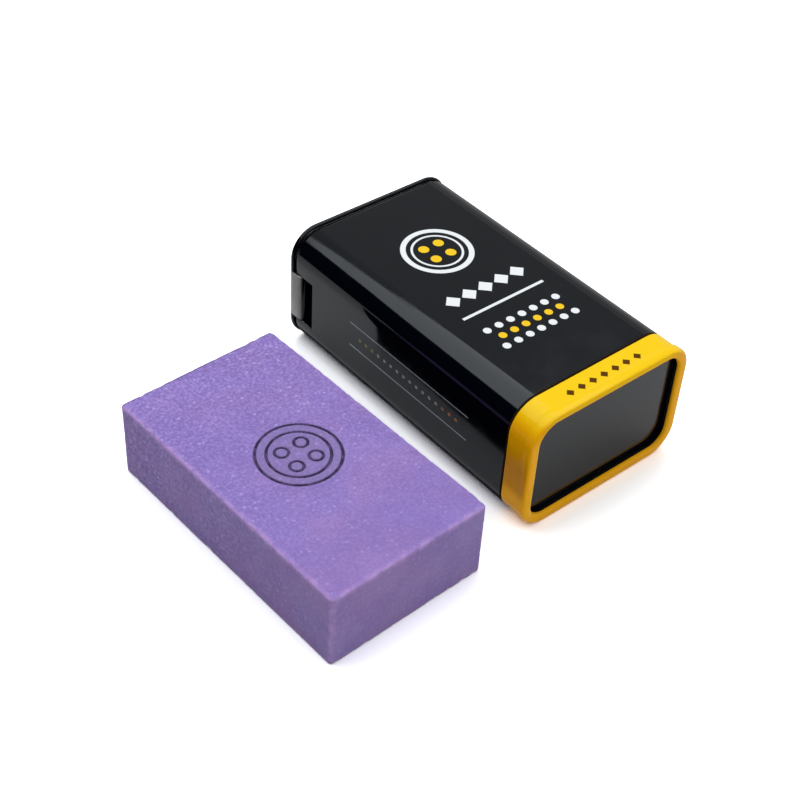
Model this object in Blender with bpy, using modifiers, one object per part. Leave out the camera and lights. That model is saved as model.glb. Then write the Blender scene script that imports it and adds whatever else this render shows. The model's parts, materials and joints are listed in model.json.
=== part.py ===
"""Suede eraser: a cleaning block and the hinged tin that it is kept in.

The tin lies on its broad back with its base towards -Y and its lid towards +Y, and the block
lies beside it at -X. The tin is rolled and pressed sheet: a sleeve whose base end is rolled
into a rim and whose mouth is curled inwards, a base plate seated on that rim, and a plug lid
whose tongue is rolled round a wire in the mouth's curl. Lengths are in metres, +Z is up, and
the origin is on the floor at the middle of the whole set.
"""

import math

import bmesh
import bpy
from mathutils import Matrix, Vector

# Cleaning block
BLOCK_WIDTH = 0.0440
BLOCK_LENGTH = 0.0767
BLOCK_HEIGHT = 0.0207
BLOCK_CORNER_RADIUS = 0.0012
BLOCK_EDGE_RADIUS = 0.0006

# Place of the block beside the tin: its near right corner, and its turn
BLOCK_GAP = 0.0149
BLOCK_SETBACK = 0.0025
BLOCK_TURN = math.radians(1.85)

# Tin sleeve, over its outer faces
TIN_WIDTH = 0.0504
TIN_DEPTH = 0.0331
TIN_LENGTH = 0.0894
CORNER_RADIUS = 0.0074

# Tinplate, and the gap between pieces that seat on each other
SHEET = 0.0004
SEAT_GAP = 0.0003

# Rolled rim at the base end
RIM_PROUD = 0.0003
RIM_WIDTH = 0.0027
RIM_HEIGHT = 0.0024
RIM_SHOULDER = 0.0005
RIM_BEND = 0.0009

# Base plate, a shallow tray behind the rim
BASE_RECESS = 0.0020
BASE_FLANGE = 0.0034
BASE_BEND = 0.0008

# Curl round the mouth, which holds the hinge wire
CURL_RADIUS = 0.0012
CURL_TURN = math.radians(250)

# Plug lid
LID_RIM_HEIGHT = 0.00115
LID_RIM_BEND = 0.0005
LID_HEM = 0.0008
LID_HEM_BEND = 0.0005
LID_SINK = 0.0030
LID_BEND = 0.0008
PLUG_GAP = 0.00035

# Hinge: a tongue of the lid rolled loosely round a wire, in a notch of the sleeve
HINGE_HEIGHT = 0.0153
TONGUE_WIDTH = 0.0136
TONGUE_PROUD = 0.0004
TONGUE_SHEET = 0.00045
TONGUE_ROLL = 0.0019
TONGUE_DROP = 0.0005
TONGUE_TURN = math.radians(155)
NOTCH_DEPTH = 0.0075
NOTCH_CORNER = 0.0008
WIRE_RADIUS = 0.0005
WIRE_HOLD = 0.0016

# Facets
CORNER_STEPS = 8
BEND_STEPS = 4
CURL_STEPS = 12
WIRE_SIDES = 16
BLOCK_CORNER_STEPS = 4
BLOCK_EDGE_STEPS = 3
SMOOTH_ANGLE = math.radians(35)
BLOCK_EDGE_ANGLE = math.radians(60)
CUTTER_MARGIN = 0.0020

# Sizes that follow
MOUTH_END = TIN_LENGTH - LID_RIM_HEIGHT - SEAT_GAP
HINGE_X = -TIN_WIDTH / 2 + CURL_RADIUS
HINGE_Y = MOUTH_END - CURL_RADIUS
HINGE_Z = HINGE_HEIGHT - TIN_DEPTH / 2
LID_RIM_WIDTH = 2 * CURL_RADIUS + PLUG_GAP + SHEET
TIN_LIFT = RIM_PROUD + TIN_DEPTH / 2

COLOURS = {
    "eraser_block": ((0.27, 0.17, 0.47), 0.95, 0.0),
    "tin_body": ((0.020, 0.021, 0.024), 0.25, 0.4),
    "base_plate": ((0.030, 0.031, 0.034), 0.30, 0.4),
    "lid": ((0.022, 0.023, 0.026), 0.25, 0.4),
    "hinge_wire": ((0.55, 0.56, 0.58), 0.30, 1.0),
}


def clear_scene():
    """Remove every object that the file opened with."""
    for thing in list(bpy.data.objects):
        bpy.data.objects.remove(thing, do_unlink=True)


def new_collection(name):
    """Link and return a collection under the scene's own."""
    collection = bpy.data.collections.new(name)
    bpy.context.scene.collection.children.link(collection)
    return collection


def material_for(name):
    """Return the piece's own Principled material."""
    colour, roughness, metallic = COLOURS[name]
    material = bpy.data.materials.new(name)
    material.use_nodes = True
    shader = material.node_tree.nodes["Principled BSDF"]
    shader.inputs["Base Color"].default_value = (*colour, 1.0)
    shader.inputs["Roughness"].default_value = roughness
    shader.inputs["Metallic"].default_value = metallic
    return material


def object_from(bm, name, collection, parent):
    """Turn a bmesh into a smooth-shaded object under its parent."""
    mesh = bpy.data.meshes.new(name)
    bm.to_mesh(mesh)
    bm.free()
    mesh.shade_smooth()
    mesh.set_sharp_from_angle(angle=SMOOTH_ANGLE)
    thing = bpy.data.objects.new(name, mesh)
    collection.objects.link(thing)
    thing.parent = parent
    if name in COLOURS:
        mesh.materials.append(material_for(name))
    return thing


def add_empty(name, location, collection, parent=None):
    """Add an empty that carries the pieces of one body."""
    empty = bpy.data.objects.new(name, None)
    empty.empty_display_size = 0.01
    collection.objects.link(empty)
    empty.location = location
    empty.parent = parent
    return empty


def arc(centre, radius, start, turn, steps):
    """Return points along an arc, both ends included."""
    points = []
    for step in range(steps + 1):
        angle = start + turn * step / steps
        x = centre[0] + radius * math.cos(angle)
        y = centre[1] + radius * math.sin(angle)
        points.append((x, y))
    return points


def sleeve_stations():
    """Return the centre and outward direction of each point round the sleeve's section."""
    half_x = TIN_WIDTH / 2 - CORNER_RADIUS
    half_z = TIN_DEPTH / 2 - CORNER_RADIUS
    signs = ((1, 1), (-1, 1), (-1, -1), (1, -1))
    stations = []
    for quarter, (sign_x, sign_z) in enumerate(signs):
        centre = Vector((sign_x * half_x, 0, sign_z * half_z))
        for step in range(CORNER_STEPS + 1):
            angle = (quarter + step / CORNER_STEPS) * math.pi / 2
            stations.append((centre, Vector((math.cos(angle), 0, math.sin(angle)))))
    return stations


def pressed_sheet(profile, capped):
    """Draw a profile of (offset from the sleeve's face, Y) once round the rounded section.

    Each step extrudes the whole ring. A cap closes the last ring with a flat panel.
    """
    stations = sleeve_stations()
    bm = bmesh.new()
    number = bm.verts.layers.int.new("station")

    def place(vertices, offset, y):
        for vertex in vertices:
            centre, outward = stations[vertex[number]]
            vertex.co = centre + outward * (CORNER_RADIUS + offset) + Vector((0, y, 0))

    ring = [bm.verts.new() for _ in stations]
    for index, vertex in enumerate(ring):
        vertex[number] = index
    place(ring, *profile[0])
    edges = []
    for index, vertex in enumerate(ring):
        edges.append(bm.edges.new((vertex, ring[(index + 1) % len(ring)])))
    for offset, y in profile[1:]:
        extruded = bmesh.ops.extrude_edge_only(bm, edges=edges)["geom"]
        edges = [item for item in extruded if isinstance(item, bmesh.types.BMEdge)]
        place([item for item in extruded if isinstance(item, bmesh.types.BMVert)], offset, y)
        edges = [edge for edge in edges if edge.is_boundary]
        edges = [edge for edge in edges if is_ring_edge(edge, number, len(stations))]
    if capped:
        bmesh.ops.contextual_create(bm, geom=edges)
    face_outwards(bm, Vector((0, 1, 0)))
    return bm


def is_ring_edge(edge, number, count):
    """Say whether an edge runs round the section and not along the sleeve."""
    apart = abs(edge.verts[0][number] - edge.verts[1][number])
    return apart in (1, count - 1)


def thicken(thing, thickness):
    """Give an open surface its wall, on the side away from its normals."""
    wall = thing.modifiers.new("sheet", "SOLIDIFY")
    wall.thickness = thickness
    wall.offset = -1
    wall.use_even_offset = True
    wall.use_quality_normals = True
    return wall


def face_outwards(bm, axis):
    """Turn an open surface so that its outermost face looks away from the given axis."""
    def across(vector):
        return vector - axis * vector.dot(axis)

    bmesh.ops.recalc_face_normals(bm, faces=bm.faces)
    bm.normal_update()
    outermost = max(bm.faces, key=lambda face: across(face.calc_center_median()).length)
    if outermost.normal.dot(across(outermost.calc_center_median())) < 0:
        bmesh.ops.reverse_faces(bm, faces=bm.faces)


def boolean(thing, other, operation):
    """Cut or join another object by an exact Boolean."""
    cut = thing.modifiers.new(other.name, "BOOLEAN")
    cut.operation = operation
    cut.solver = "EXACT"
    cut.object = other


def hide_cutter(cutter):
    """Keep a cutter out of renders and draw it as wire."""
    cutter.hide_render = True
    cutter.display_type = "WIRE"


def sleeve_profile():
    """Return the sleeve's outer face: mouth curl, wall, rim bead and inner lip."""
    curl_centre = (-CURL_RADIUS, HINGE_Y)
    points = arc(curl_centre, CURL_RADIUS, CURL_TURN, -CURL_TURN, CURL_STEPS)
    points.append((0, RIM_HEIGHT + RIM_SHOULDER))
    points.append((RIM_PROUD, RIM_HEIGHT))
    outer = (RIM_PROUD - RIM_BEND, RIM_BEND)
    points += arc(outer, RIM_BEND, 0, -math.pi / 2, BEND_STEPS)
    inner = (RIM_BEND - RIM_WIDTH, RIM_BEND)
    points += arc(inner, RIM_BEND, -math.pi / 2, -math.pi / 2, BEND_STEPS)
    points.append((-RIM_WIDTH, BASE_RECESS - SEAT_GAP))
    return points


def base_plate_profile():
    """Return the tray's outer face: flange inside the wall, bend and panel edge."""
    flange = -SHEET - SEAT_GAP
    points = [(flange, BASE_RECESS + BASE_FLANGE)]
    bend = (flange - BASE_BEND, BASE_RECESS + BASE_BEND)
    points += arc(bend, BASE_BEND, 0, -math.pi / 2, BEND_STEPS)
    return points


def lid_profile():
    """Return the lid's outer face: hem, rim, wall of the plug and panel edge."""
    foot = TIN_LENGTH - LID_RIM_HEIGHT
    points = [(-LID_HEM, foot)]
    hem = (RIM_PROUD - LID_HEM_BEND, foot + LID_HEM_BEND)
    points += arc(hem, LID_HEM_BEND, -math.pi / 2, math.pi / 2, BEND_STEPS)
    crown = TIN_LENGTH - LID_RIM_BEND
    points += arc((RIM_PROUD - LID_RIM_BEND, crown), LID_RIM_BEND, 0, math.pi / 2, BEND_STEPS)
    inner = (LID_RIM_BEND - LID_RIM_WIDTH, crown)
    points += arc(inner, LID_RIM_BEND, math.pi / 2, math.pi / 2, BEND_STEPS)
    panel = (-LID_RIM_WIDTH - LID_BEND, TIN_LENGTH - LID_SINK + LID_BEND)
    points += arc(panel, LID_BEND, 0, -math.pi / 2, BEND_STEPS)
    return points


def make_notch_cutter(collection, parent):
    """Make the block that cuts the hinge notch out of the sleeve's wall and curl."""
    size_x = 2 * (CURL_RADIUS + CUTTER_MARGIN)
    size_y = NOTCH_DEPTH + CUTTER_MARGIN
    size_z = TONGUE_WIDTH + 2 * SEAT_GAP
    bm = bmesh.new()
    bmesh.ops.create_cube(bm, size=1.0, matrix=Matrix.Diagonal((size_x, size_y, size_z, 1)))
    low = [edge for edge in bm.edges if all(v.co.y < 0 for v in edge.verts)]
    low = [edge for edge in low if abs(edge.verts[0].co.x - edge.verts[1].co.x) > size_x / 2]
    bmesh.ops.bevel(bm, geom=low, offset=NOTCH_CORNER, offset_type="OFFSET", segments=BEND_STEPS,
                    profile=0.5, affect="EDGES")
    cutter = object_from(bm, "notch_cutter", collection, parent)
    middle = MOUTH_END - NOTCH_DEPTH + size_y / 2
    cutter.location = (HINGE_X, middle, HINGE_Z)
    hide_cutter(cutter)
    return cutter


def make_tongue(collection, parent):
    """Make the lid's tongue: a strip down the outside, rolled round the wire from below."""
    outside = -CURL_RADIUS - TONGUE_PROUD
    crown = TIN_LENGTH - LID_RIM_BEND - HINGE_Y
    roll = (outside + TONGUE_ROLL, -TONGUE_DROP)
    line = [(outside, crown)] + arc(roll, TONGUE_ROLL, math.pi, TONGUE_TURN, CURL_STEPS)
    bm = bmesh.new()
    bends = [bm.verts.new((x, y, -TONGUE_WIDTH / 2)) for x, y in line]
    edges = [bm.edges.new(pair) for pair in zip(bends, bends[1:])]
    extruded = bmesh.ops.extrude_edge_only(bm, edges=edges)["geom"]
    moved = [item for item in extruded if isinstance(item, bmesh.types.BMVert)]
    bmesh.ops.translate(bm, verts=moved, vec=(0, 0, TONGUE_WIDTH))
    face_outwards(bm, Vector((0, 0, 1)))
    tongue = object_from(bm, "tongue_strip", collection, parent)
    thicken(tongue, TONGUE_SHEET)
    hide_cutter(tongue)
    return tongue


def make_tin_body(collection, cutters, parent):
    """Make the sleeve, with its hinge notch cut out."""
    body = object_from(pressed_sheet(sleeve_profile(), False), "tin_body", collection, parent)
    thicken(body, SHEET)
    boolean(body, make_notch_cutter(cutters, parent), "DIFFERENCE")
    return body


def make_base_plate(collection, parent):
    """Make the tray that closes the base behind the rim."""
    bm = pressed_sheet(base_plate_profile(), True)
    plate = object_from(bm, "base_plate", collection, parent)
    thicken(plate, SHEET)
    return plate


def make_lid(collection, cutters, hinge):
    """Make the plug lid and its tongue, with the origin on the hinge's axis."""
    bm = pressed_sheet(lid_profile(), True)
    bmesh.ops.translate(bm, verts=bm.verts, vec=(-HINGE_X, -HINGE_Y, -HINGE_Z))
    lid = object_from(bm, "lid", collection, hinge)
    thicken(lid, SHEET)
    boolean(lid, make_tongue(cutters, hinge), "UNION")
    return lid


def make_hinge_wire(collection, parent):
    """Make the wire that lies in the curl across the notch."""
    length = TONGUE_WIDTH + 2 * (SEAT_GAP + WIRE_HOLD)
    bm = bmesh.new()
    bmesh.ops.create_cone(bm, cap_ends=True, segments=WIRE_SIDES, radius1=WIRE_RADIUS,
                          radius2=WIRE_RADIUS, depth=length)
    wire = object_from(bm, "hinge_wire", collection, parent)
    wire.location = (HINGE_X, HINGE_Y, HINGE_Z)
    return wire


def make_block(collection, seat):
    """Make the cleaning block, its upright corners rounder than its other edges."""
    bm = bmesh.new()
    size = Matrix.Diagonal((BLOCK_WIDTH, BLOCK_LENGTH, BLOCK_HEIGHT, 1))
    lift = Matrix.Translation((0, 0, BLOCK_HEIGHT / 2))
    bmesh.ops.create_cube(bm, size=1.0, matrix=lift @ size)
    upright = [e for e in bm.edges if abs(e.verts[0].co.z - e.verts[1].co.z) > BLOCK_HEIGHT / 2]
    bmesh.ops.bevel(bm, geom=upright, offset=BLOCK_CORNER_RADIUS, offset_type="OFFSET",
                    segments=BLOCK_CORNER_STEPS, profile=0.5, affect="EDGES")
    block = object_from(bm, "eraser_block", collection, seat)
    edge = block.modifiers.new("soft_edges", "BEVEL")
    edge.width = BLOCK_EDGE_RADIUS
    edge.segments = BLOCK_EDGE_STEPS
    edge.limit_method = "ANGLE"
    edge.angle_limit = BLOCK_EDGE_ANGLE
    return block


def set_layout():
    """Return the places of the tin's axis and the block's seat about the set's middle."""
    corner = Vector((-TIN_WIDTH / 2 - BLOCK_GAP, -BLOCK_SETBACK))
    turned = Matrix.Rotation(BLOCK_TURN, 2) @ Vector((-BLOCK_WIDTH / 2, BLOCK_LENGTH / 2))
    block = corner + turned
    core_x = BLOCK_WIDTH / 2 - BLOCK_CORNER_RADIUS
    core_y = BLOCK_LENGTH / 2 - BLOCK_CORNER_RADIUS
    cosine, sine = math.cos(BLOCK_TURN), abs(math.sin(BLOCK_TURN))
    reach = Vector((core_x * cosine + core_y * sine, core_x * sine + core_y * cosine))
    reach += Vector((BLOCK_CORNER_RADIUS, BLOCK_CORNER_RADIUS))
    low_x = min(block.x - reach.x, -TIN_WIDTH / 2 - TONGUE_PROUD)
    high_x = max(block.x + reach.x, TIN_WIDTH / 2 + RIM_PROUD)
    low_y = min(block.y - reach.y, 0)
    high_y = max(block.y + reach.y, TIN_LENGTH)
    middle = Vector(((low_x + high_x) / 2, (low_y + high_y) / 2))
    return -middle, block - middle


def main():
    """Build the set."""
    clear_scene()
    pieces = new_collection("suede_eraser")
    cutters = new_collection("cutters")
    tin_place, block_place = set_layout()
    tin = add_empty("tin_axis", (*tin_place, TIN_LIFT), pieces)
    make_tin_body(pieces, cutters, tin)
    make_base_plate(pieces, tin)
    make_hinge_wire(pieces, tin)
    hinge = add_empty("lid_hinge_axis", (HINGE_X, HINGE_Y, HINGE_Z), pieces, tin)
    make_lid(pieces, cutters, hinge)
    seat = add_empty("block_seat", (*block_place, 0), pieces)
    seat.rotation_euler.z = BLOCK_TURN
    make_block(pieces, seat)


main()
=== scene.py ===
"""Looks of a suede eraser set: a gritty cleaning block beside its black and yellow tin.

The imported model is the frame. Every piece here is built round its nodes, in metres, and rides
on the bodies that the model names.
"""

from __future__ import annotations

import json
import logging
import math
from dataclasses import dataclass, field
from enum import Enum, IntEnum
from typing import Any, Sequence

import bmesh
import bpy
from bmesh.types import BMEdge, BMesh, BMFace, BMVert
from bpy.types import ID, Material, Node, NodeSocket, Object, World
from mathutils import Euler, Matrix, Vector, noise


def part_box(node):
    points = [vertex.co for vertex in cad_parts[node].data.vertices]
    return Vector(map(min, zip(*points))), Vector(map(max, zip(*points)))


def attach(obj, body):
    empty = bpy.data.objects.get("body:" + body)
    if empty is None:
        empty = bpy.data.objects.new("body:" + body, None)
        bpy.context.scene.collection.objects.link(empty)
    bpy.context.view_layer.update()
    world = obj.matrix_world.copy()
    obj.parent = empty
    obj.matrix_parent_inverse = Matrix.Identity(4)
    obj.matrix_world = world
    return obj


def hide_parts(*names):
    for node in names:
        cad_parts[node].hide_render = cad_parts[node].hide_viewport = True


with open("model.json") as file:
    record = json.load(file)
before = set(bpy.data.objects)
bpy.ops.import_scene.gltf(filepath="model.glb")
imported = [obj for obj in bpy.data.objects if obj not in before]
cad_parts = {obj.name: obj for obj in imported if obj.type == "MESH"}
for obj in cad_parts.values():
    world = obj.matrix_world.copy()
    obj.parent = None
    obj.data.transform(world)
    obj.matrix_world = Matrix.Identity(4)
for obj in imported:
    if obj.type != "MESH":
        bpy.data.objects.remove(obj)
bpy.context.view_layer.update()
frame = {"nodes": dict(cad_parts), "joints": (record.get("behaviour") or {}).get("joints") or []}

MM = 0.001
SOFT_EDGE = 0.07
BLOCK_TURN = 1.85
LOG = logging.getLogger("suede_eraser")

Colour = tuple[float, float, float]
Stations = list[tuple[Vector, Vector]]
Profile = list[tuple[float, float, int]]
Point = tuple[float, float, float]
Sockets = dict[str, Any]


def linear(part: int) -> float:
    """Turn a part of a display colour, of 0 to 255, into the linear part."""
    share = part / 255
    return share / 12.92 if share <= 0.04045 else ((share + 0.055) / 1.055) ** 2.4


def from_display(red: int, green: int, blue: int) -> Colour:
    """Turn a display colour of 0 to 255 into the linear colour that shaders take."""
    return linear(red), linear(green), linear(blue)


class Body(str, Enum):
    """The moving bodies of the frame."""

    TIN = "tin"
    LID = "lid"
    BLOCK = "block"


class Slot(str, Enum):
    """The record's material slots."""

    SLEEVE = "sleeve_enamel"
    BASE = "base_enamel"
    LID = "lid_enamel"
    ERASER = "eraser_rubber"


class Coat(IntEnum):
    """The outer finishes of the sleeve, in the order of its material slots."""

    PRINT = 0
    YELLOW = 1
    INNER_LIP = 2
    SCUFFED = 3
    KEYLINE = 4


class Value:
    """A number that changes over a surface. Python's operators on it add Math nodes."""

    def __init__(self, graph: Graph, socket: NodeSocket) -> None:
        """Keep the graph and the socket that gives the number."""
        self.graph = graph
        self.socket = socket

    def maths(self, operation: str, *others: Any) -> Value:
        """Run a Math node on this number and then the others."""
        return self.graph.maths(operation, self, *others)

    def __add__(self, other: Any) -> Value:
        """Add."""
        return self.maths("ADD", other)

    def __radd__(self, other: Any) -> Value:
        """Add, from the right."""
        return self.graph.maths("ADD", other, self)

    def __sub__(self, other: Any) -> Value:
        """Subtract."""
        return self.maths("SUBTRACT", other)

    def __rsub__(self, other: Any) -> Value:
        """Subtract, from the right."""
        return self.graph.maths("SUBTRACT", other, self)

    def __mul__(self, other: Any) -> Value:
        """Multiply."""
        return self.maths("MULTIPLY", other)

    def __truediv__(self, other: Any) -> Value:
        """Divide."""
        return self.maths("DIVIDE", other)

    def __abs__(self) -> Value:
        """Drop the sign."""
        return self.maths("ABSOLUTE")


Number = Value | float


def smaller(first: Number, second: Number) -> Number:
    """Return the smaller of two numbers, for values and plain numbers."""
    return first.maths("MINIMUM", second) if isinstance(first, Value) else min(first, second)


def larger(first: Number, second: Number) -> Number:
    """Return the larger of two numbers, for values and plain numbers."""
    return first.maths("MAXIMUM", second) if isinstance(first, Value) else max(first, second)


def root(number: Number) -> Number:
    """Return a square root, for values and plain numbers."""
    return number.maths("SQRT") if isinstance(number, Value) else math.sqrt(number)


def covered(distance: Value) -> Value:
    """Turn the distance outside an outline into a mask: 1 inside and 0 outside."""
    mask = 0.5 - distance / SOFT_EDGE
    return mask.graph.clamp(mask)


class Graph:
    """The node tree of a material or a world, built by expressions."""

    def __init__(self, owner: Material | World) -> None:
        """Start with an empty tree.

        Args:
            owner: The material or the world.
        """
        owner.use_nodes = True
        self.owner = owner
        self.tree = owner.node_tree
        self.tree.nodes.clear()

    @classmethod
    def named(cls, name: str) -> Graph:
        """Start a new material of this name."""
        return cls(bpy.data.materials.new(name))

    def node(self, kind: str, inputs: Sockets | None = None, **settings: Any) -> Node:
        """Add a node, set it, and then fill its sockets.

        Args:
            kind: The node's type.
            inputs: Values or links, by socket identifier or name.
            settings: Properties of the node.

        Returns:
            The node.
        """
        made = self.tree.nodes.new(kind)
        for key, setting in settings.items():
            setattr(made, key, setting)
        sockets = {socket.identifier: socket for socket in made.inputs}
        for key, given in (inputs or {}).items():
            socket = sockets[key] if key in sockets else made.inputs[key]
            source = given.socket if isinstance(given, Value) else given
            if isinstance(source, NodeSocket):
                self.tree.links.new(source, socket)
            else:
                socket.default_value = source
        return made

    def number(self, kind: str, inputs: Sockets, output: int | str = 0,
               **settings: Any) -> Value:
        """Add a node and take one of its outputs as a number."""
        return Value(self, self.node(kind, inputs, **settings).outputs[output])

    def maths(self, operation: str, *numbers: Any) -> Value:
        """Add a Math node on these numbers."""
        inputs = dict(zip(("Value", "Value_001", "Value_002"), numbers))
        return self.number("ShaderNodeMath", inputs, operation=operation)

    def clamp(self, number: Value) -> Value:
        """Hold a number between 0 and 1."""
        return self.number("ShaderNodeClamp", {"Value": number})

    def ramp(self, number: Value, low: float, high: float) -> Value:
        """Rise smoothly from 0 at the low number to 1 at the high one."""
        inputs = {"Value": number, "From Min": low, "From Max": high}
        return self.number("ShaderNodeMapRange", inputs, interpolation_type="SMOOTHSTEP")

    def fall(self, number: Value, low: float, high: float) -> Value:
        """Fall smoothly from 1 at the low number to 0 at the high one."""
        return 1.0 - self.ramp(number, low, high)

    def place(self) -> NodeSocket:
        """Give the point's place on the piece."""
        return self.node("ShaderNodeTexCoord").outputs["Object"]

    def axes(self, origin: Vector) -> tuple[Value, Value, Value]:
        """Split the point's place into millimetres from an origin.

        Args:
            origin: The origin in the row frame.

        Returns:
            The three distances.
        """
        inputs = {"Vector": self.place(), "Vector_001": origin}
        offset = self.node("ShaderNodeVectorMath", inputs, operation="SUBTRACT")
        split = self.node("ShaderNodeSeparateXYZ", {"Vector": offset.outputs[0]})
        return tuple(Value(self, socket) / MM for socket in split.outputs)

    def noise(self, scale: float, detail: float = 2.0, roughness: float = 0.5) -> Value:
        """Give smooth noise about 0.5, with as many features per metre and octaves."""
        inputs = {"Vector": self.place(), "Scale": scale, "Detail": detail, "Roughness": roughness}
        return self.number("ShaderNodeTexNoise", inputs, "Fac")

    def cells(self, scale: float) -> tuple[Value, Value]:
        """Give grains: the distance from a grain's middle and a number of its own.

        Args:
            scale: Grains per metre.

        Returns:
            The distance in grain sizes, and the grain's number from 0 to 1.
        """
        inputs = {"Vector": self.place(), "Scale": scale}
        grains = self.node("ShaderNodeTexVoronoi", inputs, feature="F1")
        split = self.node("ShaderNodeSeparateColor", {"Color": grains.outputs["Color"]})
        return Value(self, grains.outputs["Distance"]), Value(self, split.outputs[0])

    def attribute(self, name: str) -> Value:
        """Read the number of this name that the piece's mesh carries."""
        return self.number("ShaderNodeAttribute", {}, "Fac", attribute_name=name)

    def blend(self, mask: Any, first: Any, second: Any) -> NodeSocket:
        """Mix two colours.

        Args:
            mask: 0 for the first colour, 1 for the second.
            first: The first colour.
            second: The second colour.

        Returns:
            The mixed colour.
        """
        def filled(colour: Any) -> Any:
            """Add the fourth part that a socket's colour has."""
            return (*colour, 1.0) if isinstance(colour, tuple) else colour

        inputs = {"Factor_Float": mask, "A_Color": filled(first), "B_Color": filled(second)}
        made = self.node("ShaderNodeMix", inputs, data_type="RGBA")
        return next(out for out in made.outputs if out.identifier == "Result_Color")

    def bump(self, height: Value, strength: float, depth: float) -> NodeSocket:
        """Turn a height of 0 to 1 into a bent normal, where 1 is as many metres deep."""
        inputs = {"Height": height, "Strength": strength, "Distance": depth}
        return self.node("ShaderNodeBump", inputs).outputs["Normal"]

    def layered(self, colour: Any, layers: Sequence[tuple[Value, Any]]) -> Any:
        """Lay colours over a colour, each through its mask.

        Args:
            colour: The lowest colour.
            layers: Pairs of mask and colour, the lowest first.

        Returns:
            The mixed colour.
        """
        for mask, tint in layers:
            colour = self.blend(mask, colour, tint)
        return colour

    def diffuse(self, level: float) -> NodeSocket:
        """Give a matt grey surface."""
        colour = (level, level, level, 1.0)
        return self.node("ShaderNodeBsdfDiffuse", {"Color": colour}).outputs[0]

    def glow(self, strength: float) -> NodeSocket:
        """Give a glowing white surface."""
        return self.node("ShaderNodeEmission", {"Strength": strength}).outputs[0]

    def mix(self, share: Any, first: Any, second: Any) -> NodeSocket:
        """Mix two shaders, the second by its share."""
        inputs = {"Fac": share, "Shader": first, "Shader_001": second}
        return self.node("ShaderNodeMixShader", inputs).outputs[0]

    def close(self, surface: NodeSocket) -> Material | World:
        """Close the tree with its surface.

        Args:
            surface: The last shader.

        Returns:
            The material or the world.
        """
        kind = "ShaderNodeOutputMaterial"
        if isinstance(self.owner, World):
            kind = "ShaderNodeOutputWorld"
        self.node(kind, {"Surface": surface})
        return self.owner


@dataclass(frozen=True)
class Lozenge:
    """A rounded box, in millimetres."""

    across: float
    along: float
    half_across: float
    half_along: float
    radius: float = 0.0

    def distance(self, u: Number, v: Number) -> Number:
        """Give the distance outside the outline.

        Args:
            u: Place across.
            v: Place along.

        Returns:
            Millimetres outside, negative inside.
        """
        p = abs(u - self.across) - (self.half_across - self.radius)
        q = abs(v - self.along) - (self.half_along - self.radius)
        past_p, past_q = larger(p, 0.0), larger(q, 0.0)
        outside = root(past_p * past_p + past_q * past_q)
        return outside + smaller(larger(p, q), 0.0) - self.radius


@dataclass(frozen=True)
class Emblem:
    """A plain badge in the form of a sewing button: two rings round four dots."""

    across: float
    along: float
    scale: float = 1.0
    ring_radii: tuple[float, float] = (8.6, 6.4)
    dot_apart: float = 2.4
    dot_radius: float = 1.4

    def disc(self, u: float, v: float, radius: float) -> Lozenge:
        """Place one disc of the badge."""
        u, v, radius = (number * self.scale for number in (u, v, radius))
        return Lozenge(self.across + u, self.along + v, radius, radius, radius)

    def rings(self) -> list[Lozenge]:
        """Give the outer and the inner ring."""
        return [self.disc(0.0, 0.0, radius) for radius in self.ring_radii]

    def dots(self) -> list[Lozenge]:
        """Give the four dots inside."""
        places = (-self.dot_apart, self.dot_apart)
        return [self.disc(u, v, self.dot_radius) for u in places for v in places]

    def shapes(self) -> list[Lozenge]:
        """Give the rings and then the dots."""
        return self.rings() + self.dots()


@dataclass(frozen=True)
class DotRow:
    """A row of round dots, in millimetres."""

    start: float
    pitch: float
    count: int
    level: float
    radius: float

    def mark(self, u: Value, v: Value) -> Value:
        """Give the distance outside one mark, from a place along its own stretch."""
        dot = Lozenge(self.pitch / 2, self.level, self.radius, self.radius, self.radius)
        return dot.distance(u, v)

    def distance(self, u: Value, v: Value) -> Value:
        """Give the distance outside the row's nearest mark.

        Args:
            u: Place along the row.
            v: Place across the row.

        Returns:
            Millimetres outside, negative inside.
        """
        length = self.pitch * self.count
        wrapped = (u - self.start).maths("WRAP", self.pitch, 0.0)
        row = Lozenge(self.start + length / 2, self.level, length / 2, self.radius)
        return larger(self.mark(wrapped, v), row.distance(u, v))


@dataclass(frozen=True)
class DiamondRow(DotRow):
    """A row of diamonds, each as tall as a dot of the same radius."""

    def mark(self, u: Value, v: Value) -> Value:
        """Give the distance outside one diamond, from a place along its own stretch."""
        reach = abs(u - self.pitch / 2) + abs(v - self.level)
        return (reach - self.radius) * math.sqrt(0.5)


class Finish:
    """A named surface finish, made once and shared by the pieces that wear it."""

    name: str = "finish"

    def build(self, graph: Graph) -> Sockets:
        """Give the Principled sockets and what feeds them."""
        raise NotImplementedError

    def material(self) -> Material:
        """Give the finish's material, made at its first use.

        Returns:
            The material.
        """
        known = bpy.data.materials.get(self.name)
        if known:
            return known
        graph = Graph.named(self.name)
        shader = graph.node("ShaderNodeBsdfPrincipled", self.build(graph))
        return graph.close(shader.outputs[0])


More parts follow.
